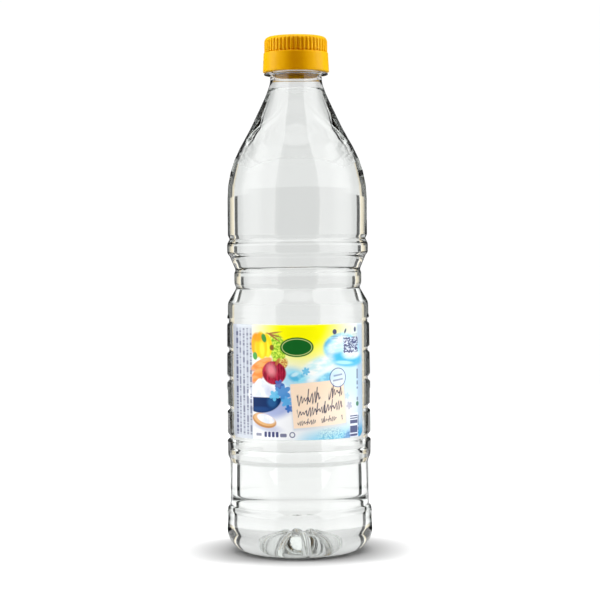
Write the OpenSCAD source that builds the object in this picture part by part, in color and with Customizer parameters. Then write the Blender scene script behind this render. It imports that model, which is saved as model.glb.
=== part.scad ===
// Clear plastic bottle of vinegar, with a ribbed screw cap and a paper label on its front.
// Millimetres, +Z up. The origin is the centre of the ring that the bottle stands on.
// The label faces -Y, and the two grooved grips face +X and -X.

/* [Drawing] */
// Flat steps that a full turn is drawn with
facets = 96; // [48:8:128]
// Largest turn between two points of a rounded corner, in degrees
arc_step = 11; // [8:1:20]

/* [Base] */
// Radius of the base chamber, the widest part
base_r = 39.9; // [39.6:0.1:40.2]
// Height at which the base chamber steps in to the waist
base_top = 24.7; // [24:0.1:25.4]
// Radius of the heel's rounding
heel_r = 12.2; // [11.2:0.2:13.2]
// Width of the flat ring that it stands on
foot_w = 2.4; // [2:0.1:3]
// Height of the push-up at the middle of the base
pushup_h = 10.4; // [9.4:0.1:11.2]
// Radius of the flat top of the push-up
pushup_r = 9; // [8:0.5:10]
// Number of radial ribs in the push-up
rib_count = 8; // [6:1:9]
// Radius of a rib's round section
rib_r = 1.6; // [1.2:0.1:1.8]
// Turn of the first rib from the front, in degrees
rib_turn = 10; // [0:1:20]

/* [Lower body] */
// Radius of the plain waist above the base chamber
waist_r = 38.2; // [38:0.1:38.4]
// Height at which the waist steps out to the band
waist_top = 51; // [50.5:0.1:51.5]
// Radius of the band above the waist
band_r = 39; // [38.9:0.1:39.2]
// Height at which the band steps in to the label panel
band_top = 57; // [56.5:0.1:57.5]

/* [Label panel] */
// Radius of the label panel
panel_r = 38.5; // [38.4:0.1:38.6]
// Height at which the label panel ends
panel_top = 136.2; // [135.8:0.1:136.8]

/* [Side grips] */
// Half of the arc that a grip takes up, in degrees
grip_half = 25; // [20:1:28]
// Radius over a grip at its bottom
grip_low_r = 39.5; // [39.3:0.05:39.7]
// Radius over a grip at its top
grip_high_r = 38.9; // [38.8:0.05:39.1]
// Height at which a grip ends
grip_top = 129.7; // [129:0.1:130.5]
// Number of grooves in each grip
groove_count = 5; // [3:1:5]
// Height of the lowest groove
groove_low = 63; // [62:0.1:64]
// Spacing of the grooves
groove_pitch = 15.8; // [14:0.1:16]
// Radius to the bottom of a groove, at the middle of the grip
groove_r = 37.9; // [37.7:0.1:38.1]
// Half the width of a groove at its bottom
groove_half = 0.9; // [0.7:0.1:1.1]

/* [Upper rings] */
// Radius of the neckings above and below the small ring
necking_r = 34.05; // [33.8:0.05:34.2]
// Radius of the small ring between the neckings
small_ring_r = 34.85; // [34.7:0.05:35.1]
// Height of the small ring's lower edge
small_ring_z = 146.6; // [146:0.1:147.2]
// Height from the small ring's lower edge to its upper edge
small_ring_h = 5.8; // [5.4:0.1:6.2]
// Radius of the large ring
large_ring_r = 38.6; // [38.5:0.1:38.8]
// Height of the large ring's lower edge
large_ring_z = 163.1; // [162.6:0.1:163.6]
// Height from the large ring's lower edge to its upper edge
large_ring_h = 5.6; // [5.2:0.1:6]
// Radius at the bottom of the fine notch above the large ring
notch_r = 37.1; // [36.8:0.1:37.4]

/* [Shoulder and neck] */
// Radius of the upper body
body_r = 38.15; // [38:0.05:38.3]
// Height at which the upper body would meet the shoulder's slope, were the corner sharp
shoulder_z = 207.8; // [206:0.2:209]
// Radius of the shoulder's rounding
shoulder_round = 58; // [50:1:60]
// Radius halfway up the shoulder's slope
slope_r = 25.2; // [24.9:0.1:25.5]
// Height of that halfway point
slope_z = 231.1; // [230.5:0.1:231.7]
// Radius where the slope runs into the neck
throat_r = 16.4; // [16.2:0.1:16.6]
// Height where the slope runs into the neck
throat_z = 249.6; // [249.2:0.1:250]
// Outer radius of the neck under its carrying ring
neck_r = 14.1; // [14:0.1:14.3]
// Inner radius of the neck
bore_r = 12.6; // [12.4:0.1:12.7]
// Radius of the neck's carrying ring
ring_r = 17.4; // [17:0.1:17.8]
// Height of the carrying ring's underside
ring_z = 259.9; // [259.6:0.1:260]
// Height of the mouth
mouth_z = 279.3; // [279:0.1:279.5]

/* [Cap] */
// Radius over the ribs of the cap
cap_r = 17.25; // [17.1:0.05:17.4]
// Depth of the grooves between the ribs
cap_groove = 0.5; // [0.4:0.1:0.6]
// Number of ribs round the cap
cap_ribs = 48; // [40:2:54]
// Rounding of the cap's top edge
cap_round = 3; // [2.5:0.1:3.5]
// Radius of the smooth skirt at its top
skirt_high_r = 17.6; // [17.5:0.05:17.75]
// Radius of the smooth skirt at its bottom
skirt_low_r = 18.1; // [17.95:0.05:18.25]
// Height at which the ribs end and the skirt begins
skirt_top = 272.3; // [271.5:0.1:273]
// Height of the cap's lower edge
cap_z = 261.8; // [261.7:0.1:262]
// Height of the cap's top
cap_top = 281; // [280.9:0.1:281.5]

/* [Label] */
// Height of the label's lower edge
label_low = 64.4; // [61:0.1:66]
// Height of the label's upper edge
label_high = 125.4; // [118:0.1:127]
// Half of the arc that the label takes up, in degrees
label_half = 63.5; // [50:0.5:64]
// Turn of the label's middle from the front, in degrees
label_turn = -1.5; // [-3:0.5:1]
// Rounding of the label's lower corners
label_round = 4; // [2:0.5:8]
// Thickness of the label
label_t = 0.15; // [0.1:0.05:0.3]

/* [Vinegar] */
// Height of the vinegar's surface
level_z = 252; // [240:0.2:253]
// Wall thickness of the blown body
wall = 0.5; // [0.4:0.05:0.6]

/* [Hidden] */

$fn = facets;

// Colours of the pieces
clear = [0.86, 0.9, 0.9, 0.35];
pale = [0.93, 0.95, 0.93, 0.6];
yellow = [0.98, 0.78, 0.05];
paper = [0.93, 0.94, 0.97];

// The flat ring that it stands on lies between these radii
foot_r = base_r - heel_r;
foot_in = foot_r - foot_w;
// Height over which the outline steps in or out beside a ring
step = 1.1;

small_ring_top = small_ring_z + small_ring_h;
large_ring_top = large_ring_z + large_ring_h;
notch_z = large_ring_top + 2 * step;

// ---- Outlines: open lines of corners [radius, height, rounding], from the axis outwards and up

function unit(v) = v / norm(v);
function left(v) = [-v.y, v.x];
function flat(c) = [c.x, c.y];

// One rounded corner at q, between the corners p and s
function corner(p, q, s, r) =
    let (a = unit(p - q), b = unit(s - q))
    let (half = acos(a * b) / 2, turn = 180 - 2 * half)
    let (mid = q + unit(a + b) * r / sin(half), start = q + a * r / tan(half) - mid)
    let (sign = cross(-a, b) > 0 ? 1 : -1, n = max(1, ceil(turn / arc_step)))
    [for (i = [0:n])
        let (t = sign * turn * i / n)
        mid + [start.x * cos(t) - start.y * sin(t), start.x * sin(t) + start.y * cos(t)]];

// The points of a line of corners
function rounded(c) = [
    flat(c[0]),
    for (i = [1:len(c) - 2])
        each c[i][2] > 0 ? corner(flat(c[i - 1]), flat(c[i]), flat(c[i + 1]), c[i][2]) : [flat(c[i])],
    flat(c[len(c) - 1])];

// The corner at i moved to the left by d, with its rounding grown or shrunk to match
function moved(c, i, d) =
    let (last = len(c) - 1, q = flat(c[i]))
    let (p = i > 0 ? flat(c[i - 1]) : 2 * q - flat(c[i + 1]))
    let (s = i < last ? flat(c[i + 1]) : 2 * q - p)
    let (a = left(unit(q - p)), b = left(unit(s - q)), at = q + (a + b) * d / (1 + a * b))
    let (sign = cross(q - p, s - q) > 0 ? 1 : -1)
    [at.x, at.y, c[i][2] > 0 ? max(0.1, c[i][2] - sign * d) : 0];

function inset(c, d) = [for (i = [0:len(c) - 1]) moved(c, i, d)];

module turned(line) rotate_extrude() polygon(rounded(line));

// Underside, heel, waist, label panel, rings, shoulder and the foot of the neck
body_line = [
    [0, pushup_h, 0],
    [pushup_r, pushup_h, 7],
    [foot_in - 1.7, 2.4, 3],
    [foot_in, 0, 0.7],
    [base_r, 0, heel_r],
    [base_r, base_top - step, 0.9],
    [waist_r, base_top + step, 0.9],
    [waist_r, waist_top - step, 0.8],
    [band_r, waist_top + step, 1.2],
    [band_r, band_top - 0.3, 0.8],
    [panel_r, band_top + 0.6, 0.8],
    [panel_r, panel_top, 1.5],
    [necking_r, small_ring_z - 2.5 * step, 0.9],
    [necking_r, small_ring_z - 1.5 * step, 0.5],
    [small_ring_r, small_ring_z, 1],
    [small_ring_r, small_ring_top, 1],
    [necking_r, small_ring_top + 1.5 * step, 0.7],
    [large_ring_r - 1.2, large_ring_z - step, 0.7],
    [large_ring_r, large_ring_z, 1],
    [large_ring_r, large_ring_top, 1.1],
    [notch_r, notch_z, 0.5],
    [body_r, notch_z + 2 * step, 0.9],
    [body_r, shoulder_z, shoulder_round],
    [slope_r, slope_z, 40],
    [throat_r, throat_z, 25],
    [neck_r, throat_z + 6.4, 12]];

// The neck's carrying ring, and the plain neck inside the cap
neck_line = [
    [neck_r, ring_z, 0.4],
    [ring_r, ring_z + 0.4, 0.35],
    [ring_r, ring_z + 1.3, 0.35],
    [neck_r - 0.5, ring_z + 1.7, 0.3],
    [neck_r - 0.5, mouth_z - 0.5, 0],
    [neck_r - 1, mouth_z, 0],
    [0, mouth_z, 0]];

outer_line = concat(body_line, neck_line);

// The body again, one wall thickness in, with a straight bore up the neck and out of the mouth
inner_line = concat(
    inset(body_line, wall),
    [[bore_r, ring_z, 3], [bore_r, mouth_z + 1, 0], [0, mouth_z + 1, 0]]);

// ---- Side grips: rings set off the axis, so that they die away into the label panel

// How far off the axis a circle lies that passes mid at the grip's middle and edge at its ends
function shift(mid, edge) = (mid * mid - edge * edge) / (2 * (mid - edge * cos(grip_half)));

grip_shift = shift(grip_low_r, panel_r);
groove_shift = shift(groove_r, panel_r);

// Outline of a grip's swelling, measured from its own axis
grip_line = [
    [0, waist_top - 0.1, 0],
    [grip_low_r - grip_shift - 1.8, waist_top - 0.1, 0.3],
    [grip_low_r - grip_shift, waist_top + 1.6, 1.1],
    [grip_high_r - grip_shift, grip_top - 0.6, 1.1],
    [grip_high_r - grip_shift - 1, grip_top, 0.3],
    [0, grip_top, 0]];

module grips(in) {
    for (side = [-1, 1])
        translate([side * grip_shift, 0, 0])
            turned(inset(grip_line, in));
}

// Section of the ring that cuts a groove from outside: it lies further in by in, and is wider by as much
module groove_section(in) {
    low = groove_r - groove_shift - in;
    half = groove_half + in * 0.4;
    deep = 3;
    flare = deep * 0.8;
    polygon([[low, -half], [low + deep, -half - flare], [low + deep, half + flare], [low, half]]);
}

module grooves(in) {
    for (side = [-1, 1], i = [0:groove_count - 1])
        translate([side * groove_shift, 0, groove_low + i * groove_pitch])
            rotate_extrude() groove_section(in);
}

// ---- Ribs pressed up into the base, from the push-up's flat top down to the foot

rib_in = pushup_r - 2;
rib_out = foot_in - 3.2;
rib_high = pushup_h - 0.2;
rib_low = 2.7;
rib_run = rib_out - rib_in;
rib_drop = rib_high - rib_low;

module rib(r) {
    translate([rib_in, 0, rib_high]) {
        sphere(r);
        rotate([0, 90 + atan(rib_drop / rib_run), 0]) cylinder(r = r, h = norm([rib_run, rib_drop]));
    }
    translate([rib_out, 0, rib_low]) sphere(r);
}

module ribs(r) {
    for (i = [0:rib_count - 1])
        rotate(-90 + rib_turn + i * 360 / rib_count) rib(r);
}

// ---- Pieces

// The bottle's outer form with in = 0, or its inside with in = wall
module form(line, in) {
    difference() {
        union() {
            turned(line);
            grips(in);
        }
        grooves(in);
        ribs(rib_r + in);
    }
}

module inside() form(inner_line, wall);

module bottle() {
    color(clear) difference() {
        form(outer_line, 0);
        inside();
    }
}

module vinegar() {
    color(pale) intersection() {
        inside();
        cylinder(r = base_r + 5, h = level_z);
    }
}

// Outline of the cap's ribs: each is flat on top, with sloping sides
function rib_ring() = [
    for (i = [0:cap_ribs - 1], k = [0:3])
        let (pitch = 360 / cap_ribs, turns = [-0.36, -0.2, 0.2, 0.36])
        let (r = k == 0 || k == 3 ? cap_r - cap_groove : cap_r + 0.02)
        let (a = (i + turns[k]) * pitch)
        [r * cos(a), r * sin(a)]];

cap_line = [
    [0, skirt_top - 2, 0],
    [cap_r, skirt_top - 2, 0],
    [cap_r, cap_top, cap_round],
    [0, cap_top, 0]];

skirt_line = [
    [0, cap_z, 0],
    [skirt_low_r, cap_z, 0.3],
    [skirt_high_r, skirt_top, 0.35],
    [0, skirt_top, 0]];

module cap() {
    color(yellow) difference() {
        union() {
            intersection() {
                turned(cap_line);
                linear_extrude(cap_top + 1) polygon(rib_ring());
            }
            turned(skirt_line);
        }
        translate([0, 0, cap_z - 1]) cylinder(r = neck_r + 0.4, h = mouth_z - cap_z + 1);
    }
}

// Everything outside the rounding of one lower corner of the label. The round is a little over size, so that
// it crosses the edges instead of touching them.
module label_corner(side) {
    turn = label_round / panel_r * 180 / PI;
    reach = 3;
    over = 1.02;
    rotate(-90 + label_turn + side * (label_half - turn))
        translate([panel_r - reach, 0, label_low + label_round])
            difference() {
                translate([0, side > 0 ? 0 : -2 * label_round, -2 * label_round])
                    cube([2 * reach, 2 * label_round, 2 * label_round]);
                rotate([0, 90, 0]) translate([0, 0, -1]) cylinder(r = label_round * over, h = 2 * reach + 2);
            }
}

module label() {
    color(paper) difference() {
        rotate(-90 + label_turn - label_half)
            rotate_extrude(angle = 2 * label_half)
                translate([panel_r, label_low]) square([label_t, label_high - label_low]);
        for (side = [-1, 1])
            label_corner(side);
    }
}

bottle();
vinegar();
cap();
label();
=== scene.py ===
"""A clear bottle of vinegar with a ribbed screw cap and a printed paper label, in a pale studio.

Sizes are in millimetres, as on a drawing, until a mesh is made, and then in metres.
"""

from __future__ import annotations

import logging
import math
from dataclasses import dataclass
from enum import Enum
from typing import Any, Callable, Iterable, Sequence, Union

import bmesh
import bpy
import numpy as np
from mathutils import Matrix, Vector, noise


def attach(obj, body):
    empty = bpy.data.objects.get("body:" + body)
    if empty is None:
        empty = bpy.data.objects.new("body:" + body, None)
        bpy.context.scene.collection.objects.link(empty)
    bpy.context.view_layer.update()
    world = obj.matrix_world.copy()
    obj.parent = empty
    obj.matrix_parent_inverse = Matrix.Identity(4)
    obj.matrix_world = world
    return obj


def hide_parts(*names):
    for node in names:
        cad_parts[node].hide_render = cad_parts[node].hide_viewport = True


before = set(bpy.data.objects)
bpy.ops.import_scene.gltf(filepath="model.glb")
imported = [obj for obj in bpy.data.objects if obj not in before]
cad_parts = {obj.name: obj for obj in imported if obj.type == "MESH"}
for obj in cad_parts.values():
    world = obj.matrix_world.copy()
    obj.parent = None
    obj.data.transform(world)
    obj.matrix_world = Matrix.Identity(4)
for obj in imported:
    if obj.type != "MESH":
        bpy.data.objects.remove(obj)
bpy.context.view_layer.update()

log = logging.getLogger("bottle")

MM = 0.001
DEGREES = 180 / math.pi

Point = tuple[float, float, float]
Corner = tuple[float, float, float]
Colour = tuple[float, float, float]
Band = tuple[float, float, float]
Levels = tuple[tuple[float, float], ...]


class Body(Enum):
    """The bodies that pieces ride on."""

    ROOT = "root"


class Slot(Enum):
    """The material slots of the record."""

    PLASTIC = "clear_plastic"
    VINEGAR = "vinegar"
    CAP = "cap_plastic"
    PAPER = "label_paper"


# ---------------------------------------------------------------- outlines


def unit(line: np.ndarray) -> np.ndarray:
    """A vector brought to length 1."""
    return line / np.linalg.norm(line)


@dataclass(frozen=True)
class Outline:
    """An open line of corners, each a radius, a height and a rounding, from the axis outwards and up."""

    corners: tuple[Corner, ...]
    small: float = 1.0
    small_step: float = 2.5

    def points(self, arc_step: float = 7.5) -> np.ndarray:
        """The line's points with each corner rounded.

        Args:
            arc_step: the largest turn between two points of a rounding, in degrees.

        Returns:
            An array of (radius, height) rows.
        """
        flat = [np.array(c[:2], float) for c in self.corners]
        line = [flat[0]]
        for before, at, after, corner in zip(flat, flat[1:], flat[2:], self.corners[1:]):
            line += self._round(before, at, after, corner[2], arc_step) if corner[2] > 0 else [at]
        return np.array([*line, flat[-1]])

    def _round(
        self, before: np.ndarray, at: np.ndarray, after: np.ndarray, radius: float, arc_step: float
    ) -> list[np.ndarray]:
        """Points of one corner's rounding.

        Args:
            before: the corner before it.
            at: the corner.
            after: the corner after it.
            radius: the rounding's radius.
            arc_step: the largest turn between two points, in degrees. Small roundings take longer steps.

        Returns:
            The points in order.
        """
        back, on = unit(before - at), unit(after - at)
        half = math.acos(float(np.clip(back @ on, -1, 1))) / 2
        turn = math.pi - 2 * half
        middle = at + unit(back + on) * radius / math.sin(half)
        x, y = at + back * radius / math.tan(half) - middle
        sign = 1 if (-back[0] * on[1] + back[1] * on[0]) > 0 else -1
        step = arc_step if radius > self.small else self.small_step * arc_step
        count = max(1, math.ceil(math.degrees(turn) / step))
        turns = [sign * turn * i / count for i in range(count + 1)]
        waves = [(math.cos(t), math.sin(t)) for t in turns]
        return [middle + np.array([x * cos - y * sin, x * sin + y * cos]) for cos, sin in waves]

    def inset(self, depth: float) -> Outline:
        """The outline moved to its left, with every rounding grown or shrunk to match.

        Args:
            depth: how far it moves.

        Returns:
            The moved outline.
        """
        flat = [np.array(c[:2], float) for c in self.corners]
        last = len(flat) - 1
        moved: list[Corner] = []
        for i, at in enumerate(flat):
            before = flat[i - 1] if i > 0 else 2 * at - flat[i + 1]
            after = flat[i + 1] if i < last else 2 * at - before
            u, w = unit(at - before), unit(after - at)
            a, b = np.array([-u[1], u[0]]), np.array([-w[1], w[0]])
            x, y = at + (a + b) * depth / (1 + a @ b)
            sign = 1 if u[0] * w[1] - u[1] * w[0] > 0 else -1
            rounding = self.corners[i][2]
            moved.append((float(x), float(y), max(0.1, rounding - sign * depth) if rounding > 0 else 0.0))
        return Outline(tuple(moved))


def spaced(line: np.ndarray, longest: Callable[[float], float]) -> np.ndarray:
    """A line with its long stretches divided.

    Args:
        line: rows of (radius, height).
        longest: gives the longest stretch allowed at a height.

    Returns:
        The line with points added, each on the straight between its neighbours.
    """
    made = [line[0]]
    for p, q in zip(line, line[1:]):
        gap = float(np.linalg.norm(q - p))
        if gap < 1e-6:
            continue
        middle = float(p[1] + q[1]) / 2
        count = max(1, math.ceil(gap / longest(middle)))
        made += [p + (q - p) * (i + 1) / count for i in range(count)]
    return np.array(made)


def soft_max(a: np.ndarray, b: np.ndarray, width: float) -> np.ndarray:
    """The larger of two values, with the crossing rounded over a difference of width."""
    share = np.clip(0.5 + 0.5 * (a - b) / width, 0, 1)
    return b + (a - b) * share + width * share * (1 - share)


def soft_min(a: np.ndarray, b: np.ndarray, width: float) -> np.ndarray:
    """The smaller of two values, with the crossing rounded over a difference of width."""
    return -soft_max(-a, -b, width)


# ---------------------------------------------------------------- meshes


class Skin:
    """A closed skin made of rings of points, each ring stitched to the next."""

    def __init__(self) -> None:
        """Starts with no rings."""
        self.mesh = bmesh.new()
        self.last: list[bmesh.types.BMVert] = []

    def ring(self, points: np.ndarray) -> None:
        """Adds a ring and stitches it to the one before.

        Args:
            points: rows of x, y and z in millimetres: one row for a pole, or one for each column. A ring may
                have the same number as the one before, twice as many, or half as many.
        """
        fresh = [self.mesh.verts.new(Vector(p) * MM) for p in points]
        before, self.last = self.last, fresh
        if not before:
            return
        low, high = len(before), len(fresh)
        for j in range(max(low, high) if 1 in (low, high) else min(low, high)):
            for corners in self._stitch(before, fresh, j):
                self.mesh.faces.new(corners)

    @staticmethod
    def _stitch(before: list, fresh: list, j: int) -> list[tuple]:
        """The faces of one column between two rings.

        Args:
            before: the first ring's points.
            fresh: the second ring's points.
            j: the column's number.

        Returns:
            Each face's corners.
        """
        low, high = len(before), len(fresh)
        if low == 1:
            return [(before[0], fresh[(j + 1) % high], fresh[j])]
        if high == 1:
            return [(before[j], before[(j + 1) % low], fresh[0])]
        if low == high:
            k = (j + 1) % low
            return [(before[j], before[k], fresh[k], fresh[j])]
        if high == 2 * low:
            k, a, b, c = (j + 1) % low, 2 * j, 2 * j + 1, (2 * j + 2) % high
            return [
                (before[j], fresh[b], fresh[a]),
                (before[j], before[k], fresh[b]),
                (before[k], fresh[c], fresh[b]),
            ]
        k, a, b, c = (j + 1) % high, 2 * j, 2 * j + 1, (2 * j + 2) % low
        return [
            (before[a], before[b], fresh[j]),
            (before[b], fresh[k], fresh[j]),
            (before[b], before[c], fresh[k]),
        ]


def finished(made: bmesh.types.BMesh, name: str) -> bpy.types.Object:
    """Makes an object of a bmesh, smooth shaded and linked to the scene.

    Args:
        made: the bmesh, which is freed.
        name: the object's name.

    Returns:
        The object.
    """
    data = bpy.data.meshes.new(name)
    made.to_mesh(data)
    made.free()
    data.shade_smooth()
    thing = bpy.data.objects.new(name, data)
    bpy.context.scene.collection.objects.link(thing)
    return thing


def turned(radius: np.ndarray, height: np.ndarray, angles: np.ndarray) -> np.ndarray:
    """Points at radii, heights and angles, as rows of x, y and z."""
    radius, height = np.broadcast_to(radius, angles.shape), np.broadcast_to(height, angles.shape)
    return np.stack([radius * np.cos(angles), radius * np.sin(angles), height], axis=1)


# ---------------------------------------------------------------- shader maths


class Graph:
    """The node tree of one material or world."""

    def __init__(self, tree: bpy.types.NodeTree) -> None:
        """Clears the tree."""
        self.tree = tree
        tree.nodes.clear()

    def node(
        self, kind: str, settings: dict[str, Any] | None = None, inputs: dict | None = None
    ) -> bpy.types.Node:
        """Adds a node.

        Args:
            kind: the node's type.
            settings: attributes, set first; a ramp's stops are given as stops.
            inputs: values, tuples or Values for the sockets, by name or number.

        Returns:
            The node.
        """
        made = self.tree.nodes.new(kind)
        for key, value in (settings or {}).items():
            if key == "stops":
                self._stops(made.color_ramp, value)
            else:
                setattr(made, key, value)
        for key, value in (inputs or {}).items():
            if isinstance(value, Value):
                self.tree.links.new(value.socket, made.inputs[key])
            else:
                made.inputs[key].default_value = value
        return made

    @staticmethod
    def _stops(ramp: bpy.types.ColorRamp, stops: Sequence[tuple[float, Colour]]) -> None:
        """Sets the stops of a colour ramp.

        Args:
            ramp: the ramp.
            stops: a place and a colour for each stop.
        """
        while len(ramp.elements) < len(stops):
            ramp.elements.new(1.0)
        for element, (place, colour) in zip(ramp.elements, stops):
            element.position = place
            element.color = (*colour, 1.0)

    def value(
        self,
        kind: str,
        settings: dict[str, Any] | None = None,
        inputs: dict | None = None,
        out: str | int = 0,
    ) -> Value:
        """Adds a node and gives one of its outputs, the first unless out says which."""
        return Value(self, self.node(kind, settings, inputs).outputs[out])

    def mix(self, share: Number, a: Paint, b: Paint, blend: str = "MIX") -> Value:
        """The colour a turned to b by share."""
        paint = [c if isinstance(c, Value) else (*c, 1.0) for c in (a, b)]
        settings = {"data_type": "RGBA", "blend_type": blend}
        return self.value("ShaderNodeMix", settings, {0: share, 6: paint[0], 7: paint[1]}, 2)

    def multiply(self, a: Paint, b: Paint) -> Value:
        """The product of two colours."""
        return self.mix(1.0, a, b, "MULTIPLY")

    def grow(
        self, kind: str, value: Number, low: float, high: float, a: Number = 0.0, b: Number = 1.0
    ) -> Value:
        """A value mapped from low..high to a..b, LINEAR or SMOOTHSTEP, and held at the ends."""
        inputs = {0: value, 1: low, 2: high, 3: a, 4: b}
        return self.value("ShaderNodeMapRange", {"interpolation_type": kind}, inputs)

    def ramp(self, value: Value, stops: Sequence[tuple[float, float]]) -> Value:
        """A value looked up in a line of places and levels, all from 0 to 1."""
        greys = [(at, (level,) * 3) for at, level in stops]
        made = self.value("ShaderNodeValToRGB", {"stops": greys}, {0: value})
        return self.value("ShaderNodeSeparateColor", None, {0: made})

    def lookup(self, levels: Levels, bearing: Value) -> Value:
        """The level at a bearing, from pairs of a bearing in degrees and the level there."""
        most = max(level for _, level in levels)
        return self.ramp(bearing / 180, [(angle / 180, level / most) for angle, level in levels]) * most

    def noise(self, scale: float, detail: float = 2.0, vector: Value | None = None) -> Value:
        """Noise from 0 to 1 over a vector, or over the object's own space in metres."""
        at = vector or self.place()
        return self.value("ShaderNodeTexNoise", None, {"Vector": at, "Scale": scale, "Detail": detail})

    def bump(self, height: Value, strength: float, distance: float) -> Value:
        """A normal raised by a height, as far as distance in metres."""
        inputs = {"Strength": strength, "Distance": distance, "Height": height}
        return self.value("ShaderNodeBump", None, inputs)

    def place(self) -> Value:
        """The point's place in the object's own space."""
        return self.value("ShaderNodeTexCoord", out="Object")


class Value:
    """A socket in a sum: its operators add Math nodes."""

    def __init__(self, graph: Graph, socket: bpy.types.NodeSocket) -> None:
        """Wraps a socket of graph."""
        self.graph = graph
        self.socket = socket

    def math(self, operation: str, a: Number, b: Number = 0.0, c: Number = 0.0) -> Value:
        """A Math node of one, two or three values."""
        return self.graph.value("ShaderNodeMath", {"operation": operation}, {0: a, 1: b, 2: c})

    def __add__(self, other: Number) -> Value:
        """self + other"""
        return self.math("ADD", self, other)

    __radd__ = __add__

    def __sub__(self, other: Number) -> Value:
        """self - other"""
        return self.math("SUBTRACT", self, other)

    def __rsub__(self, other: Number) -> Value:
        """other - self"""
        return self.math("SUBTRACT", other, self)

    def __mul__(self, other: Number) -> Value:
        """self * other"""
        return self.math("MULTIPLY", self, other)

    __rmul__ = __mul__

    def __truediv__(self, other: Number) -> Value:
        """self / other"""
        return self.math("DIVIDE", self, other)

    def __neg__(self) -> Value:
        """-self"""
        return self.math("MULTIPLY", self, -1.0)

    def __abs__(self) -> Value:
        """The size of self."""
        return self.math("ABSOLUTE", self)

    def most(self, other: Number) -> Value:
        """The larger of self and other."""
        return self.math("MAXIMUM", self, other)

    def least(self, other: Number) -> Value:
        """The smaller of self and other."""
        return self.math("MINIMUM", self, other)

    def wave(self) -> Value:
        """The sine of self."""
        return self.math("SINE", self)

    def root(self) -> Value:
        """The square root of self."""
        return self.math("SQRT", self)

    def floor(self) -> Value:
        """The whole number below self."""
        return self.math("FLOOR", self)

    def over(self, other: Number) -> Value:
        """1 where self is above other, else 0."""
        return self.math("GREATER_THAN", self, other)

    def vector(self, operation: str, other: Any = (0.0, 0.0, 0.0)) -> Value:
        """A Vector Math node of self and other."""
        out = "Value" if operation in ("LENGTH", "DOT_PRODUCT", "DISTANCE") else "Vector"
        return self.graph.value("ShaderNodeVectorMath", {"operation": operation}, {0: self, 1: other}, out)

    def parts(self) -> tuple[Value, Value, Value]:
        """The x, y and z of a vector.

        Returns:
            The three numbers.
        """
        split = self.graph.node("ShaderNodeSeparateXYZ", None, {0: self})
        x, y, z = (Value(self.graph, s) for s in split.outputs)
        return x, y, z


Number = Union[Value, float]
Paint = Union[Value, Colour]


class Finish:
    """What every finish can do: start a material with one Principled shader."""

    name: str

    def material(self) -> bpy.types.Material:
        """Makes the material.

        Returns:
            The material.
        """
        made = bpy.data.materials.new(self.name)
        made.use_nodes = True
        graph = Graph(made.node_tree)
        shader = self.shade(graph)
        graph.node("ShaderNodeOutputMaterial", None, {"Surface": Value(graph, shader.outputs[0])})
        return made

    def shade(self, graph: Graph) -> bpy.types.Node:
        """Adds the finish's shader to a graph and returns it."""
        raise NotImplementedError


@dataclass(frozen=True)
class Clear(Finish):
    """A clear material: blown plastic or a liquid."""

    name: str
    tint: Colour
    bend: float
    paler: float = 0.6
    cloud_scale: float = 25.0

    def shade(self, graph: Graph) -> bpy.types.Node:
        """A transmitting shader, whose tint wanders a little.

        Args:
            graph: the material's tree.

        Returns:
            The shader.
        """
        pale = tuple(1 - (1 - c) * self.paler for c in self.tint)
        return graph.node(
            "ShaderNodeBsdfPrincipled",
            None,
            {
                "Base Color": graph.mix(graph.noise(self.cloud_scale), self.tint, pale),
                "Roughness": 0.0,
                "IOR": self.bend,
                "Transmission Weight": 1.0,
            },
        )


@dataclass(frozen=True)
class Moulded(Finish):
    """Glossy moulded plastic in a strong colour."""

    name: str
    colour: Colour
    deep: Colour
    rough: float = 0.3
    bend: float = 1.49
    gloss: float = 0.1
    cloud_scale: float = 120.0
    fine_scale: float = 2500.0
    wear_scale: float = 400.0
    texture: float = 0.12
    texture_depth: float = 0.0002

    def shade(self, graph: Graph) -> bpy.types.Node:
        """Colour that deepens in faint clouds, with fine mould texture and worn gloss.

        Args:
            graph: the material's tree.

        Returns:
            The shader.
        """
        cloud = graph.noise(self.cloud_scale, 3.0)
        fine = graph.noise(self.fine_scale, 2.0)
        wear = graph.noise(self.wear_scale, 4.0)
        height = fine * 0.5 + cloud * 0.5
        deeper = graph.grow("SMOOTHSTEP", cloud, 0.35, 0.75, 0.0, 0.35)
        return graph.node(
            "ShaderNodeBsdfPrincipled",
            None,
            {
                "Base Color": graph.mix(deeper, self.colour, self.deep),
                "Roughness": graph.grow("LINEAR", wear, 0.3, 0.7, self.rough - 0.05, self.rough + 0.07),
                "IOR": self.bend,
                "Specular IOR Level": self.gloss,
                "Normal": graph.bump(height, self.texture, self.texture_depth),
            },
        )


@dataclass(frozen=True)
class PlainPaper(Finish):
    """The unprinted back and edges of the label."""

    name: str = "label back"
    colour: Colour = (0.86, 0.87, 0.88)
    shade_of: float = 0.95
    fibre_scale: float = 1800.0
    rough: float = 0.7

    def shade(self, graph: Graph) -> bpy.types.Node:
        """White paper with a faint fibre mottle.

        Args:
            graph: the material's tree.

        Returns:
            The shader.
        """
        darker = tuple(c * self.shade_of for c in self.colour)
        paint = graph.mix(graph.noise(self.fibre_scale, 4.0), self.colour, darker)
        return graph.node("ShaderNodeBsdfPrincipled", None, {"Base Color": paint, "Roughness": self.rough})


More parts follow.
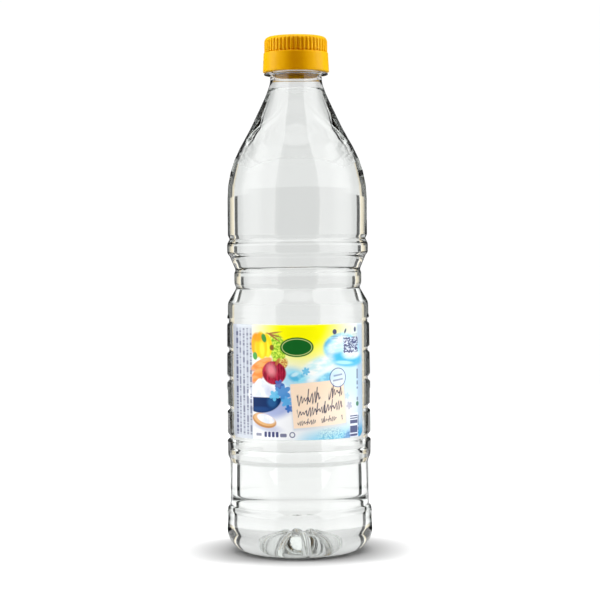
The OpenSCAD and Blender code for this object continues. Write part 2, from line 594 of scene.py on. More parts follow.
@dataclass(frozen=True)
class Ground(Finish):
    """The pale floor, with painted light in its colour. The camera sees it pale, with a painted shadow round
    the bottle's foot. Glass and every other ray see painted levels of the studio's light by bearing: bright
    behind the bottle, dim at the backdrop's edges, and dimmed by painted shade close to the bottle.
    """

    levels: tuple[Levels, Levels]
    name: str = "pale floor"
    pale: float = 0.93
    near: float = 0.8
    far: float = 0.6
    painted_near_shade: float = 0.95
    painted_near_shade_reach: tuple[float, float] = (0.09, 0.16)
    far_reach: tuple[float, float] = (0.38, 0.6)
    foot: float = 0.42
    painted_shadow_reach: tuple[float, float] = (0.03, 0.074)
    aside: float = 0.013
    behind: float = 0.036

    def shade(self, graph: Graph) -> bpy.types.Node:
        """A matt pale sheet with a painted shadow round the bottle's foot for the camera, and painted levels
        of light for every other ray.

        Args:
            graph: the material's tree.

        Returns:
            The shader.
        """
        x, y, _ = graph.place().parts()
        reach = (x * x + y * y).root()
        bearing = x.math("ARCTAN2", abs(x) + self.aside, y - self.behind) * DEGREES
        # painted reflection: the floor's levels by bearing, seen by every ray but the camera's, copy the
        # studio's bright panels and dark gaps
        near, far = (graph.lookup(line, bearing) for line in self.levels)
        # painted shade: those levels are dimmed close to the bottle
        near = near * graph.grow("SMOOTHSTEP", reach, *self.painted_near_shade_reach, self.painted_near_shade, 1.0)
        seen = graph.grow("SMOOTHSTEP", reach, *self.far_reach, near * self.near, far * self.far)
        direct = graph.value("ShaderNodeLightPath", out="Is Camera Ray")
        # painted shadow: the floor's colour darkens in a soft ring round the bottle's foot, for camera rays
        # only
        foot = graph.grow("SMOOTHSTEP", reach, *self.painted_shadow_reach, self.foot, 1.0)
        shade = (direct * foot * self.pale + (1 - direct) * seen).least(0.95)
        paint = graph.value("ShaderNodeCombineColor", None, {0: shade, 1: shade, 2: shade})
        inputs = {"Base Color": paint, "Roughness": 0.9, "Specular IOR Level": 0.0}
        return graph.node("ShaderNodeBsdfPrincipled", None, inputs)


# ---------------------------------------------------------------- label print


class Sheet:
    """Simple shapes on the printed sheet. Places are millimetres right of its middle and up from its foot."""

    def __init__(self, graph: Graph, ground: Colour) -> None:
        """Starts with a sheet of one colour."""
        self.graph = graph
        self.at = graph.value("ShaderNodeUVMap", {"uv_map": LabelPiece.PRINT_MAP})
        self.paint: Paint = ground

    def add(self, mask: Number, colour: Paint, strength: float = 1.0) -> None:
        """Lays colour over the sheet where mask is 1."""
        share = mask if strength == 1.0 else mask * strength
        self.paint = self.graph.mix(share, self.paint, colour)

    def ovals(self, *rows: tuple) -> None:
        """Lays ovals one over another.

        Args:
            rows: for each, what oval takes, then its colour and its strength.
        """
        for *shape, colour, strength in rows:
            self.add(self.oval(*shape), colour, strength)

    def plates(self, *rows: tuple) -> None:
        """Lays oblongs one over another.

        Args:
            rows: for each, what plate takes, then its colour and its strength.
        """
        for *shape, colour, strength in rows:
            self.add(self.plate(*shape), colour, strength)

    def mottle(self, scale: float, dark: Colour, light: Colour, stretch: Point = (1.0, 1.0, 1.0)) -> Value:
        """Two colours mixed in soft clouds or streaks, for the inside of a shape."""
        cloud = self.graph.noise(scale, 3.0, self.at.vector("MULTIPLY", stretch))
        return self.graph.mix(self.graph.grow("SMOOTHSTEP", cloud, 0.36, 0.64), dark, light)

    def local(self, x: float, y: float, turn: float = 0.0, wide: float = 1.0, high: float = 1.0) -> Value:
        """The point seen from a place, turned and scaled.

        Args:
            x: the place's distance to the right.
            y: its height.
            turn: the turn, in degrees.
            wide: the unit along.
            high: the unit across.

        Returns:
            The point as a vector.
        """
        if not turn:
            return self.at.vector("SUBTRACT", (x, y, 0.0)).vector("MULTIPLY", (1 / wide, 1 / high, 0.0))
        c, s = math.cos(math.radians(turn)), math.sin(math.radians(turn))
        along = self.at.vector("DOT_PRODUCT", (c / wide, s / wide, 0.0)) - (x * c + y * s) / wide
        across = self.at.vector("DOT_PRODUCT", (-s / high, c / high, 0.0)) - (y * c - x * s) / high
        return self.graph.value("ShaderNodeCombineXYZ", None, {0: along, 1: across})

    def oval(self, x: float, y: float, wide: float, high: float, turn: float, soft: float) -> Value:
        """A mask of an oval.

        Args:
            x: its middle's distance to the right.
            y: its middle's height.
            wide: half its width.
            high: half its height.
            turn: its turn, in degrees.
            soft: the width of its soft edge.

        Returns:
            The mask.
        """
        edge = soft / min(wide, high) / 2
        reach = self.local(x, y, turn, wide, high).vector("LENGTH")
        return self.graph.grow("SMOOTHSTEP", reach, 1 - edge, 1 + edge, 1.0, 0.0)

    def plate(
        self, x: float, y: float, wide: float, high: float, turn: float, rounding: float, soft: float
    ) -> Value:
        """A mask of an oblong with rounded corners.

        Args:
            x: its middle's distance to the right.
            y: its middle's height.
            wide: its width.
            high: its height.
            turn: its turn, in degrees.
            rounding: its corners' radius.
            soft: the width of its soft edge.

        Returns:
            The mask.
        """
        core = (wide / 2 - rounding, high / 2 - rounding, 0.0)
        beyond = self.local(x, y, turn).vector("ABSOLUTE").vector("SUBTRACT", core).vector("MAXIMUM")
        inner, outer = rounding - soft / 2, rounding + soft / 2
        return self.graph.grow("SMOOTHSTEP", beyond.vector("LENGTH"), inner, outer, 1.0, 0.0)

    def ring(self, x: float, y: float, radius: float, width: float) -> Value:
        """A mask of a thin circle."""
        reach = self.local(x, y).vector("LENGTH")
        return self.graph.grow("SMOOTHSTEP", abs(reach - radius), width / 2, width / 2 + 0.2, 1.0, 0.0)

    def toss(self, at: Number) -> Value:
        """A number from 0 to 1 that any whole number gives for itself."""
        return self.graph.value("ShaderNodeTexWhiteNoise", {"noise_dimensions": "1D"}, {"W": at})

    def scribble(
        self, x: float, y: float, long: float, tall: float, turn: float, pitch: float, seed: float, pen: float
    ) -> Value:
        """A mask of a slanted pen stroke that runs up and down in uneven waves. It spells nothing.

        Args:
            x: its middle's distance to the right.
            y: its middle's height.
            long: its length.
            tall: its full height.
            turn: its turn, in degrees.
            pitch: the length of a wave.
            seed: what sets its unevenness.
            pen: the width of the stroke.

        Returns:
            The mask.
        """
        graph = self.graph
        along, across, _ = self.local(x, y, turn).parts()
        slant = along - across * 0.3
        group = pitch * 2.5
        step = (slant / group).floor()
        toss = self.toss(step + seed)
        phase = (slant + (slant * (2.1 / pitch) + seed).wave() * (pitch * 0.13)) * (2 * math.pi / pitch)
        swing = (slant * (1.3 / pitch) + seed).wave() * (tall * 0.12) + tall * 0.2
        steep = (phase + math.pi / 2).wave() * swing * (2 * math.pi / pitch)
        slope = steep * steep + 1
        wave = abs(across + tall * 0.12 - phase.wave() * swing) / slope.root()
        aside = abs(slant - (step + 0.5) * group)
        post = aside.most(abs(across - tall * 0.05) - tall * 0.5) + (1 - toss.over(0.5)) * 9.0
        inside = graph.grow("SMOOTHSTEP", wave.least(post), pen * 0.35, pen, 1.0, 0.0)
        gap = graph.grow("SMOOTHSTEP", toss, 0.1, 0.12)
        return inside * gap * graph.grow("SMOOTHSTEP", abs(along), long / 2, long / 2 + 0.3, 1.0, 0.0)

    def blossom(self, x: float, y: float, radius: float, petals: int, turn: float) -> Value:
        """A mask of a flower-like star with round petals.

        Args:
            x: its middle's distance to the right.
            y: its middle's height.
            radius: its radius at a petal's tip.
            petals: how many petals it has.
            turn: its turn, in degrees.

        Returns:
            The mask.
        """
        spot = self.local(x, y, turn)
        across, up, _ = spot.parts()
        bearing = across.math("ARCTAN2", up, across)
        lobes = abs((bearing * (petals / 2)).wave()) * (radius * 0.45) + radius * 0.55
        return self.graph.grow("SMOOTHSTEP", spot.vector("LENGTH") - lobes, -0.25, 0.25, 1.0, 0.0)

    def dashes(self, pitch: float, seed: float, ink: float, x: float, y: float, *shape: float) -> Value:
        """A mask of uneven bars across an oblong, as plain as a ruler's marks.

        Args:
            pitch: the height of the thinnest bar.
            seed: what sets the unevenness.
            ink: the share of the oblong that is inked.
            x: the oblong's middle's distance to the right.
            y: its middle's height.
            shape: the rest of what plate takes.

        Returns:
            The mask.
        """
        _, up, _ = self.local(x, y).parts()
        toss = self.toss((up / pitch + seed).floor())
        return toss.over(1 - ink) * self.plate(x, y, *shape)


@dataclass(frozen=True)
class PrintedPaper(Finish):
    """The printed front of the label: fields of colour and simple shapes, with nothing to read."""

    name: str = "label print"
    paper: Colour = (0.9, 0.91, 0.93)
    navy: Colour = (0.025, 0.035, 0.16)
    ink: Colour = (0.03, 0.035, 0.13)
    stamp_ink: Colour = (0.05, 0.1, 0.32)
    pen: Colour = (0.06, 0.05, 0.09)
    gloss: float = 0.15
    grain_scale: float = 1500.0
    grain_tint: Colour = (0.97, 0.97, 0.975)
    grain_depth: float = 0.00005

    def shade(self, graph: Graph) -> bpy.types.Node:
        """Builds the print from the ground up, then lays it on lightly calendered paper.

        Args:
            graph: the material's tree.

        Returns:
            The shader.
        """
        sheet = Sheet(graph, self.paper)
        layers = (self.grounds, self.ice, self.greens, self.powder, self.blossoms, self.card, self.plaque,
                  self.columns, self.code, self.icons, self.foot_marks)
        for layer in layers:
            layer(sheet)
        grain = graph.noise(self.grain_scale, 3.0)
        paint = graph.multiply(sheet.paint, graph.mix(grain, (1.0, 1.0, 1.0), self.grain_tint))
        return graph.node(
            "ShaderNodeBsdfPrincipled",
            None,
            {
                "Base Color": paint,
                "Roughness": graph.grow("LINEAR", grain, 0.3, 0.7, 0.36, 0.46),
                "Specular IOR Level": self.gloss,
                "Normal": graph.bump(grain, 0.1, self.grain_depth),
            },
        )

    def grounds(self, sheet: Sheet) -> None:
        """The broad fields of colour, and darker strips down both side edges: painted shade where the label
        turns away from the light.

        Args:
            sheet: the sheet to print on.
        """
        sheet.ovals(
            (5, 62, 30, 25, 0, 22, (0.95, 0.95, 0.35), 0.9),
            (3, 60, 19, 15, 0, 13, (0.98, 0.94, 0.0), 1.0),
            (34, 20, 17, 36, 0, 20, (0.5, 0.8, 0.97), 0.7),
            (19, -3, 17, 10, 0, 9, (0.2, 0.66, 0.9), 0.85),
        )
        # painted shade: a darker strip down the right edge, where the label turns away from the light
        sheet.plates((42.6, 30, 9.5, 62, 0, 1, 4, (0.3, 0.42, 0.6), 0.7))
        sheet.ovals((36, -3, 13, 8, 20, 6, (0.02, 0.33, 0.62), 0.9))
        sheet.plates(
            (-36, 30, 21, 64, 0, 1, 1, (0.62, 0.66, 0.72), 0.95),
            # painted shade: a darker strip down the left edge, where the label turns away from the light
            (-43.2, 30, 8, 64, 0, 1, 5, (0.36, 0.39, 0.46), 0.75),
        )

    def ice(self, sheet: Sheet) -> None:
        """Cool glassy shapes at the right, and a soft shade of blue between the things.

        Args:
            sheet: the sheet to print on.
        """
        deep = sheet.mottle(0.16, (0.06, 0.46, 0.74), (0.32, 0.78, 0.92), (1.0, 1.6, 1.0))
        clear = sheet.mottle(0.18, (0.58, 0.87, 0.95), (0.97, 1.0, 1.0), (0.8, 1.8, 1.0))
        sheet.ovals(
            (-2, 33, 8, 5.5, -12, 4, (0.32, 0.68, 0.88), 0.8),
            (27, 47.5, 12.5, 8.5, -8, 1.5, deep, 1.0),
            (24, 50, 7.5, 5, 30, 4, clear, 0.9),
            (30, 42, 12, 4, -4, 2, (0.05, 0.5, 0.78), 0.9),
            (33, 45, 7, 3, 0, 2, clear, 0.9),
            (27, 40.4, 6, 1, -4, 1, (0.55, 0.9, 0.97), 0.8),
            (11, 38, 10, 5, 28, 3, clear, 0.85),
            (13, 34.5, 7, 1.4, 24, 1.2, (0.88, 0.97, 0.99), 0.8),
            (17, 33.0, 7, 2.6, 20, 2, deep, 0.85),
            (0, 33.5, 5, 3, -20, 2, deep, 0.9),
            (-1, 34.8, 2, 1, 20, 1, (0.7, 0.92, 0.98), 0.8),
        )

    def greens(self, sheet: Sheet) -> None:
        """A pepper, leaves, roots and an onion, drawn as plain rounds.

        Args:
            sheet: the sheet to print on.
        """
        leaf = sheet.mottle(0.9, (0.2, 0.5, 0.02), (0.72, 0.86, 0.1))
        dried = sheet.mottle(1.2, (0.5, 0.12, 0.03), (0.85, 0.75, 0.2))
        sheet.ovals(
            (-10.5, 49, 4.7, 7.5, 12, 1.2, leaf, 1.0),
            (-9.5, 44, 3.2, 5, -18, 1, leaf, 1.0),
            (-7.2, 40.5, 2.4, 3, -30, 1, dried, 1.0),
        )
        for rise, turn in ((55.6, -14), (56.8, 8), (54.6, -34)):
            sheet.ovals((-12.5, rise, 4.2, 0.4, turn, 0.4, (0.38, 0.14, 0.05), 1.0))
        for x, wide, warm in ((-22.9, 3.4, 0.45), (-16.3, 3.0, 0.68), (-19.6, 3.5, 0.62)):
            high = 7.4 - abs(x + 19.6) * 0.3
            sheet.ovals(
                (x, 50, wide, high, 4, 0.8, (0.97, warm, 0.01), 1.0),
                (x + 0.5, 48, wide * 0.45, 4, 4, 1.6, (1.0, warm + 0.25, 0.05), 0.85),
            )
        sheet.ovals(
            (-22, 54.5, 3.2, 2.4, 0, 2, (0.93, 0.3, 0.01), 0.8),
            (-18, 54, 1.4, 2.4, 20, 0.6, (0.05, 0.27, 0.05), 1.0),
            (-23.7, 44.4, 1.5, 2.1, 10, 0.6, (0.08, 0.38, 0.08), 1.0),
            (-13.4, 49, 1.2, 1.5, 0, 0.7, (0.24, 0.11, 0.02), 1.0),
        )
        root = sheet.mottle(0.3, (0.9, 0.26, 0.05), (1.0, 0.42, 0.14), (0.6, 1.6, 1.0))
        for x, y, long, turn in ((-20, 40.4, 7, 24), (-20, 37.2, 7, 34), (-21.8, 33.8, 4.8, 40)):
            sheet.ovals(
                (x, y - 0.9, long, 2.2, turn, 0.9, (0.55, 0.1, 0.02), 0.8),
                (x, y, long, 2.0, turn, 0.7, root, 1.0),
            )
        skin = sheet.mottle(0.5, (0.2, 0.004, 0.02), (0.5, 0.02, 0.06), (2.2, 0.5, 1.0))
        sheet.ovals(
            (-12.4, 35.6, 6.8, 6.2, -12, 0.8, skin, 1.0),
            (-13.9, 37.2, 2.4, 3.2, 20, 3.2, (0.82, 0.26, 0.3), 0.9),
            (-10.2, 41.6, 0.9, 2.2, -30, 0.6, (0.5, 0.16, 0.05), 0.9),
        )

    def powder(self, sheet: Sheet) -> None:
        """A bowl and a spoon of white powder, with their shadows.

        Args:
            sheet: the sheet to print on.
        """
        white = sheet.mottle(0.3, (0.76, 0.8, 0.9), (0.96, 0.97, 1.0), (1.0, 0.8, 1.0))
        sheet.ovals((-9.5, 17.5, 11, 5, 25, 5, (0.22, 0.3, 0.62), 0.75))
        sheet.plates((-20.5, 24, 13.4, 13.4, 45, 2.5, 0.9, white, 1.0))
        sheet.ovals((-14.6, 25.2, 2.6, 5, 45, 2.6, (0.5, 0.55, 0.72), 0.55))
        bowl = sheet.oval(-20.5, 22.6, 12.4, 8.4, 0, 0.6)
        _, up, _ = sheet.local(-20.5, 22.6).parts()
        below = sheet.graph.grow("SMOOTHSTEP", up, -0.3, 0.1, 1.0, 0.0)
        strip = sheet.plate(-16, 18, 18.6, 24, 0, 0.1, 0.2)
        sheet.add(bowl * below * strip, (0.0, 0.02, 0.1))
        sheet.add(sheet.oval(-13.5, 20, 2.6, 2.8, 30, 2.4) * below, (0.02, 0.12, 0.32), 0.7)
        sheet.ovals(
            (-20, 16.2, 6, 1.2, 0, 1.4, (0.01, 0.06, 0.22), 0.7),
            (-17, 6.8, 8.4, 2.2, -12, 2.4, (0.5, 0.52, 0.66), 0.8),
            (-18.5, 10.2, 7.4, 3.6, -14, 0.5, (0.55, 0.25, 0.08), 1.0),
            (-18.2, 10.7, 6.8, 3.0, -14, 0.5, (0.75, 0.45, 0.2), 1.0),
            (-17.4, 11.2, 5.4, 2.3, -14, 0.6, white, 1.0),
        )

    def blossoms(self, sheet: Sheet) -> None:
        """Small blue stars, like blossoms or frost, and two patches of frost at the foot.

        Args:
            sheet: the sheet to print on.
        """
        stars = (
            (-7.6, 25.5, 4.6, 6, 0, (0.03, 0.24, 0.6)),
            (-12.2, 23.6, 3, 5, 20, (0.12, 0.5, 0.76)),
            (-5.4, 20.2, 3.2, 6, 10, (0.08, 0.38, 0.72)),
            (-9.5, 29.6, 2.6, 5, 30, (0.06, 0.14, 0.45)),
            (-4.2, 16.6, 2.2, 5, 0, (0.02, 0.14, 0.5)),
            (4.9, 36.4, 2.2, 6, 15, (0.12, 0.52, 0.8)),
            (30.8, 17.3, 2.2, 5, 10, (0.03, 0.2, 0.58)),
            (29.2, 22.5, 1.8, 5, 40, (0.3, 0.66, 0.86)),
        )
        for *shape, colour in stars:
            sheet.add(sheet.blossom(*shape), colour, 0.92)
        frost = sheet.mottle(1.1, (0.02, 0.4, 0.66), (0.5, 0.86, 0.92))
        sheet.ovals((20, 1.5, 8.5, 4.6, -4, 3, frost, 0.9))
        frost = sheet.mottle(0.9, (0.02, 0.12, 0.42), (0.3, 0.5, 0.78))
        sheet.ovals((32, -1, 6, 5, 20, 3, frost, 0.85))

    def card(self, sheet: Sheet) -> None:
        """A note card with pen strokes on it, and a round stamp at its corner.

        Args:
            sheet: the sheet to print on.
        """
        sheet.plates(
            (12.6, 18.3, 31, 24.4, 4.2, 0.5, 2.2, (0.35, 0.45, 0.62), 0.5),
            (12.4, 19, 30.2, 23.6, 4.2, 0.3, 0.35, (0.98, 0.77, 0.58), 1.0),
        )
        sheet.ovals((20, 14, 15, 9, 10, 14, (0.97, 0.82, 0.68), 0.7))
        strokes = (
            (12.8, 24.0, 25.5, 7.4, 11, 1.9, 4, 0.42, 0.95),
            (12.8, 16.6, 25.5, 5.6, 10, 1.7, 31, 0.42, 0.95),
            (13, 10.4, 25.5, 2.8, 6, 1.2, 57, 0.32, 0.85),
        )
        for *shape, strength in strokes:
            sheet.add(sheet.scribble(*shape), self.pen, strength)
        sheet.ovals((23.1, 32.6, 5, 5, 0, 0.5, (0.75, 0.87, 0.94), 0.8))
        sheet.add(sheet.ring(23.1, 32.6, 5, 0.22), self.stamp_ink)
        sheet.plates(
            (23.1, 33.9, 5.6, 0.9, 8, 0.3, 0.5, self.stamp_ink, 0.6),
            (23.1, 31.4, 6.4, 0.9, 8, 0.3, 0.5, self.stamp_ink, 0.6),
        )

    def plaque(self, sheet: Sheet) -> None:
        """A bare green oval with a thin pale line inside its edge.

        Args:
            sheet: the sheet to print on.
        """
        sheet.ovals((0.2, 49.2, 8.9, 5.2, 0, 0.4, (0.006, 0.12, 0.015), 1.0))
        line = sheet.oval(0.2, 49.2, 8.1, 4.5, 0, 0.3) - sheet.oval(0.2, 49.2, 7.7, 4.1, 0, 0.3)
        sheet.add(line, (0.7, 0.8, 0.3), 0.8)

    def columns(self, sheet: Sheet) -> None:
        """Upright columns of dashes where small print would be.

        Args:
            sheet: the sheet to print on.
        """
        columns = (
            (-38.2, 2.1, 1.0),
            (-35.2, 1.5, 0.7),
            (-32.1, 1.5, 0.75),
            (-29.2, 1.4, 0.7),
            (-26.7, 1.3, 0.75),
        )
        for seed, (x, wide, strength) in enumerate(columns):
            sheet.plates((x, 30.5, wide, 57, 0, 0.2, 0.8, (0.1, 0.12, 0.24), strength * 0.5))
            dashes = sheet.dashes(0.7, seed * 7.3, 0.55, x, 30.5, wide, 57, 0, 0.15, 0.5)
            sheet.add(dashes, self.ink, strength * 0.85)

    def code(self, sheet: Sheet) -> None:
        """A block of chance cells.

        Args:
            sheet: the sheet to print on.
        """
        graph, cell = sheet.graph, 0.62
        across, up, _ = sheet.at.parts()
        cells = {0: (across / cell).floor(), 1: (up / cell).floor(), 2: 3.0}
        where = {"Vector": graph.value("ShaderNodeCombineXYZ", None, cells)}
        toss = graph.value("ShaderNodeTexWhiteNoise", {"noise_dimensions": "3D"}, where)
        block = sheet.plate(32.6, 49.6, 11.4, 8.4, 0, 0.2, 0.2)
        sheet.add(block, (0.72, 0.78, 0.88), 0.85)
        sheet.add(block * toss.over(0.45), (0.03, 0.04, 0.18), 0.9)

    def icons(self, sheet: Sheet) -> None:
        """Three small rounds at the upper right with bars under them and lines between them.

        Args:
            sheet: the sheet to print on.
        """
        for x, y, wide, turn in ((21.2, 57, 1.3, 0), (28.2, 57.2, 0.6, -25), (35.8, 57.8, 0.9, 0)):
            sheet.ovals((x, y, wide, 1.4, turn, 0.4, self.navy, 0.95))
            for drop in (2.6, 3.7):
                sheet.plates((x, y - drop, 5.4 - drop * 0.4, 0.5, 0, 0.1, 0.5, self.navy, 0.4))
        for x in (24.9, 32.3):
            sheet.plates((x, 56.5, 0.25, 5, 0, 0.05, 0.3, self.navy, 0.3))

    def foot_marks(self, sheet: Sheet) -> None:
        """Bars at the lower right, and blocks and a ring along the foot.

        Args:
            sheet: the sheet to print on.
        """
        sheet.plates((34.6, 5.8, 7, 14.6, 0, 0.2, 0.3, (0.82, 0.86, 0.92), 0.9))
        marks = (
            (0.62, 11.0, 0.55, 34.4, 6.2, 6.2, 14, 0, 0.1, 0.15, 0.9),
            (0.9, 5.0, 0.6, 38.2, 6.2, 1.0, 14, 0, 0.15, 0.5, 0.7),
            (1.1, 2.0, 0.7, 37.6, 28, 1.3, 17, 0, 0.15, 0.5, 0.7),
        )
        for *shape, strength in marks:
            sheet.add(sheet.dashes(*shape), self.navy, strength)
        sheet.ovals((37.6, 17.8, 1.3, 1.3, 0, 0.4, (0.02, 0.2, 0.1), 0.9))
        sheet.plates(
            (-21.6, 2.7, 3.4, 1.5, 0, 0.3, 0.4, self.navy, 0.7),
            *((-17.4 + 2.2 * i, 2.9, 1.5, 2.9, 0, 0.5, 0.35, self.navy, 0.95) for i in range(4)),
            (-7.4, 2.5, 3.6, 1.9, 0, 0.6, 0.4, self.navy, 0.8),
        )
        sheet.add(sheet.ring(-2.6, 2.8, 1.3, 0.35), self.navy, 0.85)


# ---------------------------------------------------------------- pieces


@dataclass(frozen=True)
class BottleForm:
    """The blown bottle's form, on its outside or at any depth in its wall."""

    base_r: float = 39.9
    base_top: float = 24.7
    heel_r: float = 12.2
    foot_w: float = 2.4
    pushup_h: float = 10.4
    pushup_r: float = 9.0
    rib_count: int = 8
    rib_r: float = 1.6
    rib_turn: float = 10.0
    waist_r: float = 38.2
    waist_top: float = 51.0
    band_r: float = 39.0
    band_top: float = 57.0
    panel_r: float = 38.5
    panel_top: float = 136.2
    grip_half: float = 25.0
    grip_low_r: float = 39.5
    grip_high_r: float = 38.9
    grip_top: float = 129.7
    groove_count: int = 5
    groove_low: float = 63.0
    groove_pitch: float = 15.8
    groove_r: float = 37.9
    groove_half: float = 0.9
    groove_flare: float = 0.8
    groove_reach: float = 3.0
    necking_r: float = 34.05
    small_ring_r: float = 34.85
    small_ring_z: float = 146.6
    small_ring_h: float = 5.8
    large_ring_r: float = 38.6
    large_ring_z: float = 163.1
    large_ring_h: float = 5.6
    notch_r: float = 37.1
    body_r: float = 38.15
    shoulder_z: float = 207.8
    shoulder_round: float = 58.0
    slope_r: float = 25.2
    slope_z: float = 231.1
    throat_r: float = 16.4
    throat_z: float = 249.6
    neck_r: float = 14.1
    bore_r: float = 12.6
    ring_r: float = 17.4
    ring_z: float = 259.9
    mouth_z: float = 279.3
    step: float = 1.1
    wall: float = 0.5
    columns: int = 120
    waver_depth: float = 0.16
    waver_span: float = 11.0
    waver_stretch: float = 0.7
    waver_heights: tuple[float, ...] = (6, 14, 54, 60, 131, 140, 246, 250)
    waver_shares: tuple[float, ...] = (0, 1, 1, 0, 0, 1, 1, 0)
    grip_soft: float = 0.12
    groove_soft: float = 0.35
    groove_near: float = 3.6
    groove_step: float = 0.62
    panel_step: float = 2.4
    foot_step: float = 1.0
    body_step: float = 3.0
    rib_high: float = 10.2
    rib_low: float = 2.7
    rib_soft: float = 0.5

    @property
    def foot_in(self) -> float:
        """Inner radius of the flat ring that it stands on."""
        return self.base_r - self.heel_r - self.foot_w

    def body_line(self) -> Outline:
        """Underside, heel, waist, label panel, rings, shoulder and the foot of the neck.

        Returns:
            The outline.
        """
        step = self.step
        small_top = self.small_ring_z + self.small_ring_h
        large_top = self.large_ring_z + self.large_ring_h
        notch_z = large_top + 2 * step
        return Outline(
            (
                (0, self.pushup_h, 0),
                (self.pushup_r, self.pushup_h, 7),
                (self.foot_in - 1.7, 2.4, 3),
                (self.foot_in, 0, 0.7),
                (self.base_r, 0, self.heel_r),
                (self.base_r, self.base_top - step, 4),
                (self.waist_r, self.base_top + step, 4),
                (self.waist_r, self.waist_top - step, 2),
                (self.band_r, self.waist_top + step, 2),
                (self.band_r, self.band_top - 0.3, 0.8),
                (self.panel_r, self.band_top + 0.6, 0.8),
                (self.panel_r, self.panel_top, 6),
                (self.necking_r, self.small_ring_z - 2.5 * step, 2),
                (self.necking_r, self.small_ring_z - 1.5 * step, 2),
                (self.small_ring_r, self.small_ring_z, 4.8),
                (self.small_ring_r, small_top, 2.5),
                (self.necking_r, small_top + 1.5 * step, 2.4),
                (self.large_ring_r - 1.2, self.large_ring_z - step, 0.7),
                (self.large_ring_r, self.large_ring_z, 2.8),
                (self.large_ring_r, large_top, 4.8),
                (self.notch_r, notch_z, 1.4),
                (self.body_r, notch_z + 2 * step, 2),
                (self.body_r, self.shoulder_z, self.shoulder_round),
                (self.slope_r, self.slope_z, 40),
                (self.throat_r, self.throat_z, 25),
                (self.neck_r, self.throat_z + 6.4, 12),
            )
        )

    def neck_line(self) -> tuple[Corner, ...]:
        """The neck's carrying ring, and the plain neck inside the cap.

        Returns:
            The corners.
        """
        return (
            (self.neck_r, self.ring_z, 0.4),
            (self.ring_r, self.ring_z + 0.4, 0.35),
            (self.ring_r, self.ring_z + 1.3, 0.35),
            (self.neck_r - 0.5, self.ring_z + 1.7, 0.3),
            (self.neck_r - 0.5, self.mouth_z - 0.5, 0),
            (self.neck_r - 1, self.mouth_z, 0),
        )

    def bore_line(self) -> tuple[Corner, ...]:
        """The straight bore up the neck."""
        return ((self.bore_r, self.ring_z, 3), (self.bore_r, self.mouth_z, 0))

    def spacing(self, height: float) -> float:
        """The longest step between rings at a height: short across the grooves.

        Args:
            height: the height.

        Returns:
            The step.
        """
        if self.band_top < height < self.grip_top + 1:
            place = (height - self.groove_low) / self.groove_pitch
            near = abs(place - round(place)) * self.groove_pitch < self.groove_near
            return self.groove_step if near else self.panel_step
        return self.foot_step if height < self.base_top else self.body_step

    def line(self, depth: float, ends: tuple[Corner, ...]) -> np.ndarray:
        """The rings' radii and heights at a depth in the wall, with the given upper end."""
        body = self.body_line().inset(depth) if depth else self.body_line()
        return spaced(Outline((*body.corners, *ends)).points(), self.spacing)

    @staticmethod
    def shift(middle: float, edge: float, half: float) -> float:
        """How far off the axis a circle lies that passes middle at the side and edge at the grip's ends."""
        return (middle**2 - edge**2) / (2 * (middle - edge * math.cos(math.radians(half))))

    def grip_line(self, depth: float) -> tuple[float, np.ndarray]:
        """A grip's swelling.

        Args:
            depth: how deep in the wall.

        Returns:
            Its axis's shift, and rows of radius about that axis and height.
        """
        shift = self.shift(self.grip_low_r, self.panel_r, self.grip_half)
        low, high = self.grip_low_r - shift, self.grip_high_r - shift
        line = Outline(
            (
                (0, self.waist_top - 0.1, 0),
                (low - 1.8, self.waist_top - 0.1, 0.3),
                (low, self.waist_top + 1.6, 1.1),
                (high, self.grip_top - 0.6, 1.1),
                (high - 1, self.grip_top, 0.3),
                (0, self.grip_top, 0),
            )
        )
        return shift, (line.inset(depth) if depth else line).points()[1:-1]

    @staticmethod
    def circle(shift: float, radius: np.ndarray, side: np.ndarray) -> np.ndarray:
        """Distance from the bottle's axis, at angles from the side, to a circle whose axis is shifted."""
        inside = np.maximum(radius**2 - (shift * np.sin(side)) ** 2, 0)
        return shift * np.cos(side) + np.sqrt(inside)

    def side_radius(
        self, radius: np.ndarray, height: np.ndarray, angles: np.ndarray, depth: float
    ) -> np.ndarray:
        """The radius of the side wall with its grips and grooves.

        Args:
            radius: the turned form's radius.
            height: the height.
            angles: the angle about the axis, in radians.
            depth: how deep in the wall the form lies.

        Returns:
            The radius at each point.
        """
        side = np.arctan2(np.abs(np.sin(angles)), np.abs(np.cos(angles)))
        shift, line = self.grip_line(depth)
        swell = np.interp(height, line[:, 1], line[:, 0], left=0, right=0)
        out = soft_max(radius, self.circle(shift, swell, side), self.grip_soft)
        shift = self.shift(self.groove_r, self.panel_r, self.grip_half)
        low = self.groove_r - shift - depth
        half = self.groove_half + 0.4 * depth
        for i in range(self.groove_count):
            away = np.abs(height - self.groove_low - i * self.groove_pitch)
            climb = np.maximum(away - half, 0) / self.groove_flare
            near = climb < self.groove_reach
            cut = self.circle(shift, low + climb, side)
            out = np.where(near, soft_min(out, cut, self.groove_soft), out)
        return out

    def rib_height(
        self, radius: np.ndarray, height: np.ndarray, angles: np.ndarray, depth: float
    ) -> np.ndarray:
        """The height of the underside with its radial ribs.

        Args:
            radius: the turned form's radius.
            height: its height.
            angles: the angle about the axis, in radians.
            depth: how deep in the wall the form lies.

        Returns:
            The height at each point.
        """
        inner, outer = self.pushup_r - 2, self.foot_in - 3.2
        high, low = self.rib_high, self.rib_low
        thick = self.rib_r + depth
        tilt = math.atan2(high - low, outer - inner)
        out = np.array(height, float)
        for i in range(self.rib_count):
            bearing = math.radians(-90 + self.rib_turn + i * 360 / self.rib_count)
            along, across = radius * np.cos(angles - bearing), radius * np.sin(angles - bearing)
            share = np.clip((along - inner) / (outer - inner), 0, 1)
            beyond = np.maximum(inner - along, 0) + np.maximum(along - outer, 0)
            gap = np.hypot(across, beyond)
            top = high + (low - high) * share + np.sqrt(np.maximum(thick**2 - gap**2, 0)) / math.cos(tilt)
            out = np.where(gap < thick, soft_max(out, top, self.rib_soft), out)
        return out

